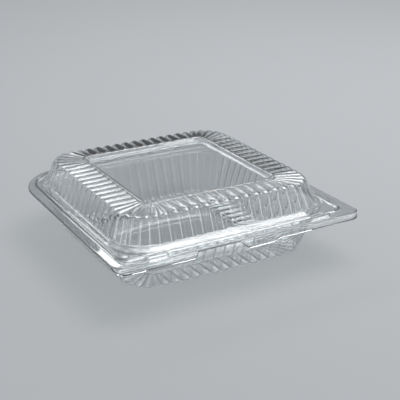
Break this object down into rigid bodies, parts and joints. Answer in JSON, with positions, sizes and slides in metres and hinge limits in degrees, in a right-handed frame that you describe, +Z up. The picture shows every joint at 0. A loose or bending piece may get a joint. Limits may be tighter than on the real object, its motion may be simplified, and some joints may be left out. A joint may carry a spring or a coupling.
{
  "type": "plastic clamshell pack",
  "caption": "Clear plastic clamshell food pack with fluted walls, a fluted hinged lid with a recessed top, and a rim with snap bars and a lifting tab.",
  "frame": {"origin": "on the surface that the pack stands on, under the middle of its outline", "axes": "+X along the front edge to the right, +Y to the hinge at the rear, +Z up"},
  "size_m": [0.1886, 0.1938, 0.0551],
  "materials": {
    "clear_film": "clear formed film, glossy"
  },
  "bodies": {
    "tray": {"tray": "clear_film", "hinge_strip": "clear_film"},
    "lid": {"lid": "clear_film"}
  },
  "joints": [
    {"name": "lid_hinge", "type": "hinge", "parent": "tray", "child": "lid", "pos_m": [0, 0.0965, 0.03445], "axis": [-1, 0, 0], "range_deg": [0, 180]}
  ]
}
